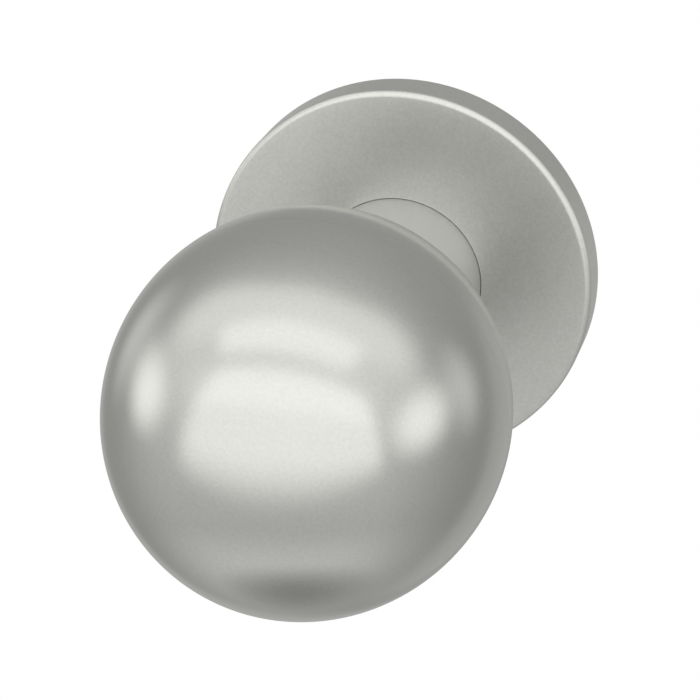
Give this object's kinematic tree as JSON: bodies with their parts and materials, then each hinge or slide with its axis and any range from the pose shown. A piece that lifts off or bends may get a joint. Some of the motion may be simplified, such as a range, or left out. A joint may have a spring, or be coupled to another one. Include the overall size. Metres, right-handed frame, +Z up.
{
  "type": "door knob",
  "caption": "Sprung ball door knob on a thin round rose with hidden fixings, with its square spindle and fixing screws.",
  "frame": {"origin": "on the spindle's axis, in the plane of the door face that the rose rests on, half way between the two fixing screws", "axes": "+Y runs into the door along the spindle, so the knob stands out towards -Y; +Z is up; +X is to the right for someone facing the knob"},
  "size_m": [0.055, 0.1343, 0.055],
  "materials": {
    "satin_steel": "satin, very fine even grain, slightly warm grey",
    "plain_steel": "turned, unpolished",
    "zinc_plated": "bright zinc plated, slightly dull",
    "zinc_casting": "die-cast zinc alloy, matt",
    "spring_steel": "oiled spring steel",
    "black_steel": "black oxide",
    "black_nylon": "moulded nylon",
    "foam": "closed-cell foam"
  },
  "bodies": {
    "base": {"base_plate": "zinc_casting", "back_pad": "foam", "bearing_bush": "black_nylon", "spring_plate": "zinc_plated", "spring_plate_screws": "black_steel", "fixing_screws": "zinc_plated", "screw_washers": "spring_steel", "snap_ring": "spring_steel", "return_spring": "spring_steel"},
    "rose": {"rose_cover": "satin_steel", "rose_guide_ring": "black_nylon"},
    "knob": {"ball_front_shell": "satin_steel", "ball_rear_shell": "satin_steel", "seam_ring": "plain_steel", "neck_sleeve": "satin_steel", "knob_core": "plain_steel", "clamp_washer": "zinc_plated", "clamp_nut": "zinc_plated", "grub_screw": "black_steel", "spindle": "zinc_plated", "rotor": "zinc_plated", "thrust_washer": "zinc_plated", "cone_washer": "spring_steel", "circlip": "spring_steel"}
  },
  "joints": [
    {"name": "knob_turn", "type": "hinge", "parent": "base", "child": "knob", "pos_m": [0, 0, 0], "axis": [0, -1, 0], "range_deg": [-60, 60], "stiffness_Nm_per_rad": 0.29, "deforming": ["return_spring"]},
    {"name": "rose_slide", "type": "slide", "parent": "base", "child": "rose", "axis": [0, -1, 0], "range_m": [0, 0.02]}
  ]
}
